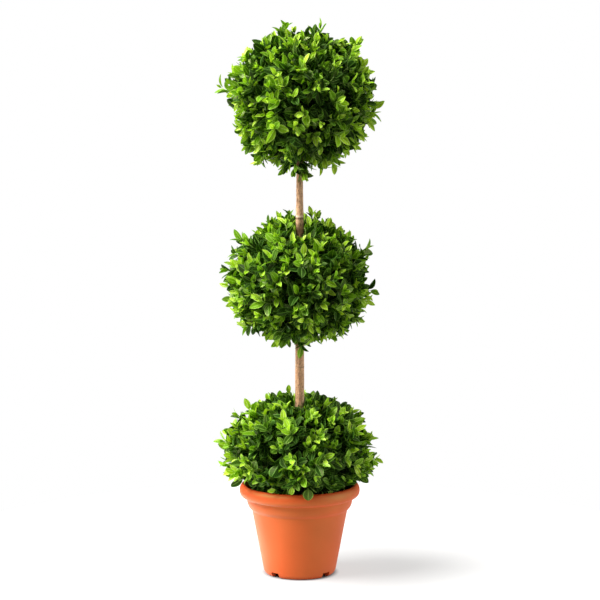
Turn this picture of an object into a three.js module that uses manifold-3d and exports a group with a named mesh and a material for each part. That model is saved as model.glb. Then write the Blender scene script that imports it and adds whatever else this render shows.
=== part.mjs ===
// A clipped topiary of three rounded heads on one upright stem, in a round plastic pot.
// Millimetres, +Z up. The origin is the centre of the pot's underside, on the ground.
import * as THREE from 'three';
import { mergeVertices } from 'three/addons/utils/BufferGeometryUtils.js';
import Module from 'manifold-3d';

const wasm = await Module();
wasm.setup();

// Gap left between pieces that touch on the real plant
const CLEARANCE = 0.3;

// Pot: its outside and its inside as [radius, height] pairs, from the underside up and back down
const POT_SEGMENTS = 36;
const FOOT_RECESS = 5;
const FLOOR_TOP = 8;
const WALL_FOOT = [79.4, 8];
const RIM_RADIUS = 132;
const RIM_INSIDE_RADIUS = 116.5;
const POT_HEIGHT = 199;
const FOOT_RING = [[65, FOOT_RECESS], [67, 0], [73, 0], [76.6, 2.6]];
const COLLAR = [[105.2, 142.5], [107.3, 145], [113.6, 153], [115.6, 160], [116.4, 169]];
const ROLLED_RIM = [
  [123.5, 171], [129.8, 176.5], [RIM_RADIUS, 184], [131, 191.5], [127.6, 197], [123, POT_HEIGHT],
];
const POT_OUTSIDE = [[0, FOOT_RECESS], ...FOOT_RING, WALL_FOOT, ...COLLAR, ...ROLLED_RIM];
const POT_INSIDE = [[119, 196.5], [117, 190], [112.6, 164], [101.8, 146], [76.4, FLOOR_TOP]];

// Notches through the pot's foot
const NOTCH_COUNT = 4;
const NOTCH_WIDTH = 21;
const NOTCH_HEIGHT = 9;
const NOTCH_INNER_RADIUS = 60;
const NOTCH_OUTER_RADIUS = 84;
const NOTCH_TURN = Math.PI / 4 + 0.035;

// Potting soil
const SOIL_TOP = 177;
const SOIL_TOP_RADIUS = 114.5;
const SOIL_EDGE_RADIUS = 112;

// Trunk, whose foot is cut flat on the soil
const TRUNK_SIDES = 12;
const TRUNK_TOP = 1096;
const TRUNK_MEASURED_HEIGHT = 449;
const TRUNK_MEASURED_RADIUS = 9.7;
const TRUNK_TAPER = 0.00587;
const FLARE_RADIUS = 3;
const FLARE_HEIGHT = 14;
const FLARE_STEPS = [0.5, 1.3, 3, 8];
const KNOT_HEIGHT = 784;
const KNOT_SWELLING = 0.9;
const KNOT_LENGTH = 14;
const KNOT_STEPS = [-2, -1, -0.5, 0, 0.5, 1, 2];
const TRUNK_TIP_HEIGHT = 6;
const TRUNK_TIP_SHARE = 0.6;

// Heads of foliage: each has the space that its tips may reach, and a smaller core inside it
const HEADS = [
  {
    name: 'foliage_top', seed: 8, twigs: 64, centre: 1040,
    reach: 174, up: 170, down: 169, core: 0.76,
  },
  {
    name: 'foliage_middle', seed: 10, twigs: 64, centre: 646,
    reach: 174, up: 157, down: 157, core: 0.76,
  },
  {
    name: 'foliage_bottom', seed: 11, twigs: 64, centre: 275,
    reach: 186, up: 137, down: 138, core: 0.76,
  },
];
const CORE_DETAIL = 2;
const CORE_ROUGHNESS = 0.05;
const GOLDEN_ANGLE = Math.PI * (3 - Math.sqrt(5));
const PLACE_JITTER = 0.35;
const REACH_SPREAD = 0.09;
const REACH_SLACK = 0.2;

// Twigs and leaves
const TWIG_ROOT_RADIUS = 4.2;
const TWIG_TIP_RADIUS = 3;
const TWIG_SUNK = 9;
const LEAF_LENGTH = 42;
const TIP_LEAF_LENGTH = 37;
const LEAF_LENGTH_SPREAD = 0.2;
const LEAF_WIDTH_SHARE = 0.5;
const LEAF_KEEL = 0.05;
const LEAF_DROOP = 0.04;
const LEAF_FOOT = 0.25;
const LEAF_OUTLINE = [
  { at: 0.3, half: 0.47 },
  { at: 0.68, half: 0.43 },
];
const TIP_LEAF_SUNK = 2.6;
const PAIR_BELOW_TIP = 4.5;
const PAIR_OPENING = 1.0;
const PAIR_OPENING_SPREAD = 0.3;
const ROLL_TRIES = 6;

const POT_COLOUR = 0xd2693f;
const SOIL_COLOUR = 0x2b2018;
const BARK_COLOUR = 0xa88562;
const LEAF_COLOUR = 0x4f8420;

// A closed geometry as a solid that can be joined and cut.
function solidOf(geometry) {
  const bare = geometry.clone();
  bare.deleteAttribute('normal');
  bare.deleteAttribute('uv');
  const merged = mergeVertices(bare, 1e-4);
  return new wasm.Manifold(new wasm.Mesh({
    numProp: 3,
    vertProperties: merged.attributes.position.array,
    triVerts: merged.index.array,
  }));
}

function geometryOf(solid) {
  const mesh = solid.getMesh();
  const geometry = new THREE.BufferGeometry();
  geometry.setAttribute('position', new THREE.BufferAttribute(mesh.vertProperties, 3));
  geometry.setIndex(new THREE.BufferAttribute(mesh.triVerts, 1));
  geometry.computeVertexNormals();
  return geometry;
}

// Turns a profile of [radius, height] pairs round the Z axis.
function revolve(profile, segments) {
  const points = profile.map(([radius, height]) => new THREE.Vector2(radius, height));
  return new THREE.LatheGeometry(points, segments).rotateX(Math.PI / 2);
}

// The same numbers in the same order for each seed, from 0 to 1.
function seededRandom(seed) {
  let state = seed >>> 0;
  return () => {
    state = (state + 0x6d2b79f5) >>> 0;
    let mixed = Math.imul(state ^ (state >>> 15), state | 1);
    mixed ^= mixed + Math.imul(mixed ^ (mixed >>> 7), mixed | 61);
    return ((mixed ^ (mixed >>> 14)) >>> 0) / 4294967296;
  };
}

// Pot: one closed profile turned round, with the notches cut through its foot
function makePot() {
  let pot = solidOf(revolve([...POT_OUTSIDE, ...POT_INSIDE, [0, FLOOR_TOP]], POT_SEGMENTS));
  const depth = NOTCH_OUTER_RADIUS - NOTCH_INNER_RADIUS;
  for (let i = 0; i < NOTCH_COUNT; i++) {
    const notch = new THREE.BoxGeometry(depth, NOTCH_WIDTH, 2 * NOTCH_HEIGHT)
      .translate(NOTCH_INNER_RADIUS + depth / 2, 0, 0)
      .rotateZ(NOTCH_TURN + (i * 2 * Math.PI) / NOTCH_COUNT);
    pot = pot.subtract(solidOf(notch));
  }
  return geometryOf(pot);
}

// Soil: fills the pot to a flat top, a little clear of its inside
function makeSoil() {
  const bottom = FLOOR_TOP + CLEARANCE;
  const side = POT_INSIDE
    .filter(([, z]) => z < SOIL_TOP)
    .map(([radius, z]) => [radius - CLEARANCE, Math.max(z, bottom)])
    .reverse();
  return revolve([[0, bottom], ...side, [SOIL_TOP_RADIUS, SOIL_TOP], [0, SOIL_TOP]], POT_SEGMENTS);
}

// Trunk: tapers upwards from its flare, with one swollen knot between the upper heads
function trunkRadius(height) {
  const taper = TRUNK_MEASURED_RADIUS + (TRUNK_MEASURED_HEIGHT - height) * TRUNK_TAPER;
  const flare = FLARE_RADIUS * Math.exp((SOIL_TOP - height) / FLARE_HEIGHT);
  const knot = KNOT_SWELLING * Math.exp(-(((height - KNOT_HEIGHT) / KNOT_LENGTH) ** 2));
  return taper + flare + knot;
}

function trunkProfile(grown = 0) {
  const flare = FLARE_STEPS.map((step) => SOIL_TOP + step * FLARE_HEIGHT);
  const knot = KNOT_STEPS.map((step) => KNOT_HEIGHT + step * KNOT_LENGTH);
  const shoulder = TRUNK_TOP - TRUNK_TIP_HEIGHT;
  return [
    [0, SOIL_TOP - grown],
    [trunkRadius(SOIL_TOP) + grown, SOIL_TOP - grown],
    ...[...flare, ...knot, shoulder].map((z) => [trunkRadius(z) + grown, z]),
    [TRUNK_TIP_SHARE * trunkRadius(TRUNK_TOP) + grown, TRUNK_TOP + grown],
    [0, TRUNK_TOP + grown],
  ];
}

// What foliage keeps clear of: the trunk and the filled pot, each a little larger than life
function makeKeepOut() {
  const rim = RIM_RADIUS + CLEARANCE;
  const top = POT_HEIGHT + CLEARANCE;
  const soil = SOIL_TOP + CLEARANCE;
  const pot = [
    [0, 0], [rim, 0], [rim, top], [RIM_INSIDE_RADIUS, top], [SOIL_EDGE_RADIUS, soil], [0, soil],
  ];
  const filledPot = solidOf(revolve(pot, POT_SEGMENTS));
  return filledPot.add(solidOf(revolve(trunkProfile(CLEARANCE), TRUNK_SIDES)));
}

// How far a head reaches from its centre in one direction.
function spaceRadius(head, direction) {
  const flat = Math.hypot(direction.x, direction.y) / head.reach;
  const upright = direction.z / (direction.z > 0 ? head.up : head.down);
  return 1 / Math.hypot(flat, upright);
}

function insideSpace(head, point) {
  const offset = point.clone().sub(new THREE.Vector3(0, 0, head.centre));
  return offset.length() <= spaceRadius(head, offset.clone().normalize()) + REACH_SLACK;
}

// Leaf: pointed at both ends, flat above and keeled below, in eight faces
function leafGeometry(base, along, up, length) {
  const across = new THREE.Vector3().crossVectors(up, along);
  const width = length * LEAF_WIDTH_SHARE;
  const place = (x, y, z) => base.clone()
    .addScaledVector(along, x)
    .addScaledVector(across, y)
    .addScaledVector(up, z);
  const sides = LEAF_OUTLINE.flatMap(({ at, half }) => [1, -1].map(
    (side) => place(at * length, side * half * width, LEAF_KEEL * length),
  ));
  const tip = place(length, 0, -LEAF_DROOP * length);
  const points = [base, ...sides, tip].flatMap((point) => point.toArray());
  const [B, R1, L1, R2, L2, T] = [0, 1, 2, 3, 4, 5];
  const geometry = new THREE.BufferGeometry();
  geometry.setAttribute('position', new THREE.Float32BufferAttribute(points, 3));
  geometry.setIndex([
    B, L1, R1, L1, L2, R2, L1, R2, R1, L2, T, R2,
    B, R1, T, R1, R2, T, B, T, L1, L1, T, L2,
  ]);
  return geometry;
}

// Twig: three-sided, from its root in the core to the foot of its tip leaf
function twigGeometry(root, tip) {
  const along = tip.clone().sub(root);
  const turn = new THREE.Quaternion().setFromUnitVectors(
    new THREE.Vector3(0, 1, 0), along.clone().normalize(),
  );
  return new THREE.CylinderGeometry(TWIG_TIP_RADIUS, TWIG_ROOT_RADIUS, along.length(), 3)
    .applyQuaternion(turn)
    .translate(...root.clone().add(tip).multiplyScalar(0.5).toArray());
}

// Where twig i of a head stands: spread evenly round the head by the golden angle, then jittered.
function twigPlace(head, i) {
  const draw = seededRandom(1000 * head.seed + i);
  const spacing = 2 / head.twigs;
  const z = 1 - spacing * (i + 0.5 + PLACE_JITTER * (draw() - 0.5));
  const angle = i * GOLDEN_ANGLE + PLACE_JITTER * (draw() - 0.5);
  const flat = Math.sqrt(1 - z * z);
  const direction = new THREE.Vector3(flat * Math.cos(angle), flat * Math.sin(angle), z);
  const centre = new THREE.Vector3(0, 0, head.centre);
  const radius = spaceRadius(head, direction);
  const end = radius * (1 - REACH_SPREAD * draw());
  const root = head.core * radius - TWIG_SUNK;
  return {
    draw,
    direction,
    root: direction.clone().multiplyScalar(root).add(centre),
    end: direction.clone().multiplyScalar(end).add(centre),
  };
}

function jitter(draw, value, spread) {
  return value * (1 + spread * (draw() - 0.5));
}

// A leaf that stands out from a twig at an angle, or nothing where it would leave the head's space.
function growLeaf(head, { direction, side, tip }, { below, opening, roll, length }) {
  const out = side.clone().applyAxisAngle(direction, roll);
  const along = direction.clone().multiplyScalar(Math.cos(opening))
    .addScaledVector(out, Math.sin(opening));
  const up = direction.clone().multiplyScalar(Math.sin(opening))
    .addScaledVector(out, -Math.cos(opening));
  const base = tip.clone().addScaledVector(direction, -below).addScaledVector(along, LEAF_FOOT);
  const reached = base.clone().addScaledVector(along, length);
  return insideSpace(head, reached) ? [solidOf(leafGeometry(base, along, up, length))] : [];
}

// One twig with a pair of leaves and a leaf at its tip, as solids. What would cross a limb or
// another twig's leaf isn't grown, and of a few turns the one with the most leaves is kept.
function growTwig(head, i, taken) {
  const { draw, direction, root, end } = twigPlace(head, i);
  const tipLength = jitter(draw, TIP_LEAF_LENGTH, LEAF_LENGTH_SPREAD);
  const tip = end.clone().addScaledVector(direction, TIP_LEAF_SUNK - LEAF_FOOT - tipLength);
  const side = new THREE.Vector3(0, 0, 1).cross(direction).normalize();
  const free = (solid) => solid.intersect(taken).isEmpty();
  const twig = solidOf(twigGeometry(root, tip));
  if (!free(twig)) return [];
  let leaves = [];
  for (let attempt = 0; attempt < ROLL_TRIES; attempt++) {
    const roll = draw() * 2 * Math.PI;
    const shapes = [0, Math.PI].map((half) => ({
      below: PAIR_BELOW_TIP,
      opening: jitter(draw, PAIR_OPENING, PAIR_OPENING_SPREAD),
      roll: roll + half,
      length: jitter(draw, LEAF_LENGTH, LEAF_LENGTH_SPREAD),
    }));
    shapes.push({ below: TIP_LEAF_SUNK, opening: 0, roll, length: tipLength });
    const grown = shapes.flatMap((shape) => growLeaf(head, { direction, side, tip }, shape));
    const kept = grown.filter(free);
    if (kept.length > leaves.length) leaves = kept;
  }
  return [twig, ...leaves];
}

// The largest body of a solid: drops loose scraps, and fills hollows that fusing has sealed.
function mainBody(solid) {
  const bodies = solid.decompose();
  return bodies.reduce((most, body) => (body.volume() > most.volume() ? body : most));
}

function makeCore(head) {
  const ball = new THREE.IcosahedronGeometry(1, CORE_DETAIL);
  ball.deleteAttribute('normal');
  ball.deleteAttribute('uv');
  const rough = mergeVertices(ball, 1e-4);
  const draw = seededRandom(head.seed);
  const places = rough.attributes.position;
  const point = new THREE.Vector3();
  for (let i = 0; i < places.count; i++) {
    point.fromBufferAttribute(places, i).normalize();
    const radius = head.core * spaceRadius(head, point) * (1 + CORE_ROUGHNESS * (draw() - 0.5));
    places.setXYZ(i, point.x * radius, point.y * radius, point.z * radius + head.centre);
  }
  return solidOf(rough);
}

function makeHead(head, keepOut) {
  let grown = makeCore(head).subtract(keepOut);
  let taken = keepOut;
  for (let i = 0; i < head.twigs; i++) {
    const solids = growTwig(head, i, taken);
    if (solids.length === 0) continue;
    const spray = wasm.Manifold.union(solids);
    taken = taken.add(spray);
    grown = grown.add(spray);
  }
  return geometryOf(mainBody(grown));
}

function material(colour, roughness) {
  return new THREE.MeshStandardMaterial({ color: colour, roughness, metalness: 0 });
}

const topiary = new THREE.Group();

function place(name, geometry, finish) {
  const mesh = new THREE.Mesh(geometry, finish);
  mesh.name = name;
  topiary.add(mesh);
}

place('pot', makePot(), material(POT_COLOUR, 0.45));
place('soil', makeSoil(), material(SOIL_COLOUR, 0.95));
place('trunk', revolve(trunkProfile(), TRUNK_SIDES), material(BARK_COLOUR, 0.8));
const keepOut = makeKeepOut();
for (const head of HEADS) place(head.name, makeHead(head, keepOut), material(LEAF_COLOUR, 0.45));

export default topiary;
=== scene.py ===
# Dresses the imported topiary: sprays of small leaves on twigs and boughs, a barked trunk, a moulded
# pot and its soil. +Z is up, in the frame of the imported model. Lengths are in millimetres and
# angles in degrees, except where a comment says otherwise.
import math

import bmesh
import bpy
import numpy as np
from mathutils import Matrix, Vector, noise


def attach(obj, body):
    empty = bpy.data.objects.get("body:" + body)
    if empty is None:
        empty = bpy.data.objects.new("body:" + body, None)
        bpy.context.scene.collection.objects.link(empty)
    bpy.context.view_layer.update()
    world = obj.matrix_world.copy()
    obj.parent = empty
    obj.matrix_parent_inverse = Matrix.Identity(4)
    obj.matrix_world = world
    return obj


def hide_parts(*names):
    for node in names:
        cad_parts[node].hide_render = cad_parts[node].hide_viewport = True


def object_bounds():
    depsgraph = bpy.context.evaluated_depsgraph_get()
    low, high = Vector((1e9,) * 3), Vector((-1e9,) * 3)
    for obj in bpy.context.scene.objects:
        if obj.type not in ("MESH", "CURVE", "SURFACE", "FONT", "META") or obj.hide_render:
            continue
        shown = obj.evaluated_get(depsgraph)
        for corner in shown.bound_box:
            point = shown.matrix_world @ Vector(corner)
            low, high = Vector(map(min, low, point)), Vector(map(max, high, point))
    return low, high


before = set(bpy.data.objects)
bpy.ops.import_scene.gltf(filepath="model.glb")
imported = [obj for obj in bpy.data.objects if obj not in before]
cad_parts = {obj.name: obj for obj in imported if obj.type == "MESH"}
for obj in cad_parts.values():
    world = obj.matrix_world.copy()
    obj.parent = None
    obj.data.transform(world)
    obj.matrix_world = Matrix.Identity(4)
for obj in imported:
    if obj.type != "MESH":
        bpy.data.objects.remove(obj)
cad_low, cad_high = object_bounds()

MM = 0.001

# Camera, fitted to the photograph: it looks along +Y and a little downwards. Its distance and height
# are in metres, its focal length and the column of the plant's axis in the photograph's pixels
FRAME_PIXELS = 600
FOCAL_PIXELS = 1946
AXIS_COLUMN = 299.7
SENSOR_WIDTH = 36
CAMERA_DISTANCE = 4.20
CAMERA_HEIGHT = 1.090
CAMERA_PITCH = 6.61

# Broad studio lights, each as the direction that it comes from, its strength and its angle, then
# those that show in no gloss, and a dim sky
LIGHTS = {
    "key": ((-0.85, -0.22, 1.04), 9.3, 42),
    "low_left": ((-1, -0.02, 0.16), 3.1, 32),
    "right_fill": ((1.0, -0.16, 0.28), 2.15, 60),
}
MATT_LIGHTS = ["low_left"]
SKY_STRENGTH = 0.2

# Round pale floor, in metres. It glows a little, but not under the pot, and more further out. Its
# left side is brighter in whatever mirrors it, which gives the pot its pale left side
FLOOR_RADIUS = 0.95
FLOOR_SEGMENTS = 96
FLOOR_COLOUR = (0.19, 0.189, 0.187, 1)
FLOOR_ROUGHNESS = 0.9
GLOW_COLOUR = (1, 0.995, 0.985, 1)
NEAR_GLOW = 0.61
NEAR_GLOW_SPAN = (0.07, 0.09)
FAR_GLOW = 0.2
FAR_GLOW_SPAN = (0.22, 0.5)
MIRRORED_GLOW = 3.0
MIRRORED_GLOW_SPAN = (0.02, 0.18)

# Gaps to the neighbours
CLEARANCE = 0.3
NEIGHBOUR_GAP = 1
RIM_GAP = 3

# Trunk, as in the solids but with more sides and rings: its radius where it was measured, its taper,
# the flare at its foot, its knot and its blunt tip
TRUNK_TOP = 1096
TRUNK_MEASURED_HEIGHT = 449
TRUNK_MEASURED_RADIUS = 9.7
TRUNK_TAPER = 0.00587
FLARE_RADIUS = 3
FLARE_HEIGHT = 14
KNOT_HEIGHT = 784
KNOT_SWELLING = 0.9
KNOT_LENGTH = 14
TRUNK_TIP_HEIGHT = 6
TRUNK_TIP_SHARE = 0.6
TRUNK_SIDES = 48
TRUNK_STEP = 2.2

# Bark relief: how far the ridges and the grain swing, with how often they do so round the trunk
# and along it, and the scars of shoots, each as (height, angle), which are swellings with a pit in
# the middle. The scars' angles are in radians
RIDGE_RELIEF = 0.42
RIDGE_RATES = (3.08, 0.0168)
GRAIN_RELIEF = 0.22
GRAIN_RATES = (5, 0.09)
FRACTAL = (1.0, 2.0, 3)
SCARS = [(468, 4.9), (438, 4.2), (400, 5.1), (784, 4.6), (560, 0.9), (520, 2.3), (850, 1.4), (800, 3.3)]
SCAR_HEIGHT = 4.5
SCAR_ANGLE = 0.5
SCAR_SWELLING = 1.1
SCAR_PIT = 0.9
SCAR_PIT_SHARPNESS = 7

# Pot: its profile as (radius, height), up the outside and down the inside, finer than in the solids
# and with a higher floor, and the notches in its foot, turned by radians from the diagonals
POT_HEIGHT = 199
RIM_RADIUS = 132
RIM_INSIDE_RADIUS = 116.5
FOOT_RECESS = 12
FLOOR_TOP = 15
FOOT_RING = [(65, FOOT_RECESS), (67, 0), (73, 0), (76.6, 2.6)]
WALL_FOOT = (79.4, 8)
COLLAR = [(104.9, 141.2), (107.3, 143.8), (111.6, 148.4), (114.3, 154.5), (115.8, 161), (116.4, 169.4)]
ROLLED_RIM = [
    (123.5, 170.8), (129, 174.4), (131.5, 179.5), (RIM_RADIUS, 185), (131, 191.5), (127.8, 196.6),
    (123, POT_HEIGHT),
]
POT_INSIDE = [(119, 196.5), (117, 190), (112.6, 164), (101.8, 146), (77.6, FLOOR_TOP)]
POT_SEGMENTS = 160
EDGE_RADIUS = 2.2
EDGE_SHARE = 0.45
EDGE_STEPS = 4
SHARP_EDGE = 40
NOTCH_COUNT = 4
NOTCH_WIDTH = 21
NOTCH_HEIGHT = 11.5
NOTCH_INNER_RADIUS = 60
NOTCH_OUTER_RADIUS = 84
NOTCH_TURN = 0.035

# Soil, level round the trunk and crumbled further out
SOIL_TOP = 177
SOIL_TOP_RADIUS = 114.5
SOIL_RINGS = 30
SOIL_SEGMENTS = 120
SOIL_LEVEL_RADIUS = 16
SOIL_RELIEF = 1.6
SOIL_RATE = 0.12

# Heads of foliage: centre height and reach as in the solids, how far the sprays' middle is set off
# from that centre and how much of the reach they fill, the height from which the trunk shows in
# front, how much the twigs turn up, and the shares of sprays of four ages, the youngest first.
# Strays are sprays that stand out of the outline or fill a gap, each as (azimuth, elevation, share
# of the reach). Lumps are what the clipping left, each as (azimuth, elevation, change of the share)
HEADS = [
    {
        "name": "top",
        "seed": 8,
        "centre": 1040,
        "reach": 174,
        "up": 170,
        "down": 169,
        "offset": (5, 0, -6),
        "fullness": 0.982,
        "sprays": 392,
        "upturn": 0.5,
        "trunk_shows": None,
        "ages": (0.34, 0.28, 0.23, 0.15),
        "strays": [
            (182, 9, 1.02), (180, 77, 0.96), (36, 34, 0.94), (0, 46, 0.98), (2, -6, 0.91),
            (-70, -80, 0.94), (-125, -78, 0.9), (-90, -79, 0.95), (-80, -84, 0.96), (0, 76, 0.94),
        ],
        "lumps": [
            (180, -8, -0.05), (180, 40, -0.04), (180, -44, 0.12), (180, -26, -0.05),
            (180, -68, -0.05), (0, -82, -0.09), (0, -25, -0.03), (0, -48, 0.05), (0, 62, -0.07),
        ],
    },
    {
        "name": "middle",
        "seed": 10,
        "centre": 646,
        "reach": 174,
        "up": 157,
        "down": 157,
        "offset": (-1, 0, -2),
        "fullness": 0.96,
        "sprays": 382,
        "upturn": 0.6,
        "trunk_shows": 753,
        "ages": (0.25, 0.27, 0.27, 0.21),
        "strays": [
            (176, 8, 0.95), (4, -8, 0.95), (-80, -80, 0.95), (180, 62, 0.92), (0, 79, 0.97),
            (15, 74, 0.94), (140, 80, 0.97), (-93, 62, 0.66), (-70, 60, 0.7), (-110, 58, 0.7),
            (-94, 7, 0.62),
        ],
        "lumps": [
            (0, 12, -0.06), (0, 58, -0.05), (0, -42, 0.10), (0, -75, -0.11), (180, -65, -0.05),
            (180, 28, 0.08), (180, 46, -0.06), (0, 30, 0.09),
        ],
    },
    {
        "name": "bottom",
        "seed": 11,
        "centre": 275,
        "reach": 186,
        "up": 137,
        "down": 138,
        "offset": (-1, 0, -3),
        "fullness": 0.96,
        "sprays": 372,
        "upturn": 0.8,
        "trunk_shows": 379,
        "ages": (0.21, 0.25, 0.29, 0.25),
        "strays": [
            (183, 7, 0.93), (-3, -6, 0.94), (185, 80, 0.97), (180, 40, 0.92), (-90, 66, 0.66),
            (-72, 64, 0.7), (-108, 62, 0.7), (-95, 52, 0.7),
        ],
        "lumps": [
            (180, 72, -0.18), (180, 52, -0.14), (0, 75, -0.05), (0, 48, -0.08), (180, 32, 0.12),
            (180, 14, -0.10), (180, -30, 0.04), (0, -30, -0.05),
        ],
    },
]
SPRAY_AGES = [-1, 0, 1, 2]
SPRAY_JITTER = 0.8
SPRAY_WANDER = 0.03
LUMP_SIZE = 0.045
LUMP_SCALE = 2.6
LUMP_SHARPNESS = 18
STRAY_SEED_STEP = 200
LEAF_SEED_STEP = 100

# How far a leaf's tip may stand past its head's reach, and the box that the foliage keeps to
LEAF_SLACK = 17
BOX_SLACK = 18
LOWEST = np.array(cad_low) / MM - BOX_SLACK
HIGHEST = np.array(cad_high) / MM + BOX_SLACK

# Boughs, which follow the directions of the solids' twigs, a golden angle apart, in radians. Each
# leaves the trunk at a share of its own rise, rooted at a share of the trunk's radius, and sags
BOUGHS = 64
BOUGH_SEED_STEP = 1000
GOLDEN_ANGLE = math.pi * (3 - math.sqrt(5))
PLACE_JITTER = 0.35
BOUGH_SHARE = 0.62
BOUGH_RISE = 0.42
BOUGH_SUNK = 0.6
BOUGH_SAG = 0.06
NEARLY_LEVEL = 0.0001
BOUGH_ROOT_RADIUS = 3.4
BOUGH_TIP_RADIUS = 1.7
BOUGH_POINTS = 7
BOUGH_SIDES = 7

# Twigs, which leave a bough anywhere beyond a first point on it. Their own first points, which are
# hidden in the head, needn't be clear of other pieces
TWIG_FIRST_JOINT = 2.4
TWIG_BEND = 0.45
TWIG_WANDER = 0.3
TWIG_REACH = (0.74, 0.93)
TWIG_ROOT_RADIUS = 1.5
TWIG_TIP_RADIUS = 0.65
TWIG_POINTS = 8
TWIG_HIDDEN_POINTS = 2
TWIG_SIDES = 5

# Stems as tubes: how upright a path is when its sides are set out from X and no longer from Z, and
# where a stem's two ends lie in its map
STEEP = 0.9
END_MARGIN = 0.01

# Leaves of a spray, pair by pair from its tip downwards: how far below it, how wide open, how long,
# how much older than the tip, and the share of leaves that are there. Their turns are in radians
PAIR_BELOW_TIP = [0, 3.5, 12, 22, 33]
PAIR_GAP_SPREAD = (0.85, 1.15)
PAIR_OPENING = [9, 24, 36, 47, 60]
SPRAY_OPENING_SPREAD = (0.7, 1.25)
OPENING_SPREAD = 12
PAIR_TURN_SPREAD = 0.2
PAIR_LENGTH = [0.44, 0.92, 1.03, 1.06, 1.06]
PAIR_AGE = [0, 0, 2, 3, 4]
LEAF_KEPT = [1.0, 0.94, 0.82, 0.8, 0.8]
OLDER_ODDS = [0.8, 0.2]
AGE_STEPS = [-1, 0, 0, 0, 1]
SPRAY_SIZE = (0.74, 1.10)
AXIS_STEP = 2

# One leaf: its size, and its outline from the stalk to the tip, tilted by radians, arched, cupped
# and twisted. Some of the older leaves are rounder
LEAF_LENGTH = 29
LEAF_LENGTH_SPREAD = 0.12
LEAF_STATIONS = [0.1, 0.17, 0.28, 0.42, 0.56, 0.7, 0.83, 0.93]
LEAF_STALK = 0.09
STALK_BREADTH = 0.07
LEAF_SKEW = 0.94
LEAF_ROOT_SHARE = 0.5
LEAF_BREADTH = [0.43, 0.46, 0.48, 0.50, 0.53]
LEAF_BREADTH_SPREAD = 0.04
LEAF_ROUNDNESS = [0.78, 0.72, 0.68, 0.64, 0.60]
ROUND_LEAF_SHARE = 0.10
ROUND_LEAF_BREADTH = 0.24
LEAF_TILT = 0.38
LEAF_ARCH = (-0.04, 0.32)
ARCH_SHORTENING = 0.5
LEAF_CUP = (0.12, 0.6)
LEAF_TWIST = 0.12
HANGING_ARCH = 0.1
HANGING_CUP = 0.3

# Short stalks that carry the old sprays inside a head and along the rim. The darkest of their
# leaves are near black, as painted shade inside the foliage
STALK_LENGTH = 40
STALK_POINTS = 5
INNER_SPRAYS = 340
INNER_JITTER = 0.9
INNER_WANDER = 0.5
INNER_REACH = (0.48, 0.78)
INNER_PAIRS = 4
INNER_AGE = 3
INNER_SIZE = 1.2

# Sprays along the pot's rim, as rings of (count, radii, heights), turned by radians, and the
# foliage's lower fringe outside the pot, which is higher on one side
RIM_SEED = 5
RIM_RINGS = [(44, (102, 128), (204, 218)), (46, (128, 150), (222, 240))]
RIM_TURN_SPREAD = 0.06
RIM_UPTURN = (-0.1, 0.5)
RIM_WANDER = 0.25
RIM_PAIRS = 4
RIM_AGES = [2, 3, 3]
FRINGE_HEIGHT = 206
FRINGE_TILT = 8
FRINGE_SIDE = 248

# Single leaves at the rim, each as its root, its direction, its class, its length and its breadth
# as a share of the length
HANGING = [
    ((18, -135, 216), (0, -0.12, -1), "deep", 27, 0.84),
    ((-4, -136, 246), (-0.06, -0.2, -1), "lime", 25, 0.55),
    ((-2, -134, 250), (0.5, -0.3, 0.4), "bright", 17, 0.5),
    ((-16, -136, 219), (-0.12, -0.1, -1), "bright", 18, 0.68),
    ((-50, -124, 210), (-1, -0.35, -0.1), "bright", 20, 0.5),
    ((-122, -50, 219), (-1, -0.1, -0.62), "dark", 33, 0.46),
]

# Leaf classes from young to old: base colour, colour of the midrib and the margin, roughness, gloss.
# At the margin that pale colour is partly a painted highlight on the leaf's edge
LEAF_CLASSES = {
    "lime": ((0.400, 0.640, 0.014), (0.68, 0.84, 0.30), 0.30, 0.45),
    "bright": ((0.275, 0.530, 0.007), (0.59, 0.78, 0.20), 0.28, 0.45),
    "mid": ((0.136, 0.318, 0.004), (0.44, 0.66, 0.12), 0.30, 0.45),
    "deep": ((0.034, 0.099, 0.003), (0.29, 0.52, 0.08), 0.31, 0.45),
    # The darkest class is darker than old leaves are: its near-black colour is partly painted shade inside
    # the heads
    "dark": ((0.012, 0.043, 0.003), (0.15, 0.33, 0.05), 0.38, 0.25),
}
CLASS_NAMES = list(LEAF_CLASSES)
FIRST_ROUND_CLASS = CLASS_NAMES.index("deep")
LEAF_SHEEN_TINT = (1.0, 1.0, 0.4, 1)
THROUGH_SHARE = 0.29
THROUGH_TINT = (0.88, 1.0, 0.25)

# Markings of a leaf, by how far a point lies from the midrib, where 1 is the margin, and how far
# along the leaf: the spans over which they come in and their shares. The pale margin is partly a
# painted highlight, as if each leaf's edge caught the light
MIDRIB_SPAN = (0.03, 0.12)
MIDRIB_SHARE = 0.75
MARGIN_GLINT_SPAN = (0.74, 0.94)
MARGIN_GLINT_SHARE = 0.7
VEIN_RATE = 52.0
VEIN_SLANT = 9.0
VEIN_SPAN = (0.55, 1.0)
VEIN_SHARE = 0.22
VEIN_RELIEF = 0.5
LEAF_FOOT_SPAN = (0.0, 0.9)
LEAF_FOOT_SHADE = 0.78

# Thin stems: colours of the root, the tip and the streaks
BOUGH_COLOURS = ((0.16, 0.10, 0.05), (0.13, 0.17, 0.04), (0.06, 0.035, 0.02))
RIND_COLOURS = ((0.11, 0.19, 0.035), (0.30, 0.46, 0.09), (0.07, 0.13, 0.02))
STEM_AGE_SPAN = (0.1, 0.9)
STREAK_RATE_ALONG = 61.0
STREAK_RATE_AROUND = 12.6
STREAK_SPAN = (0.2, 1.0)
STREAK_SHARE = 0.35
STEM_ROUGHNESS = 0.6

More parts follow.
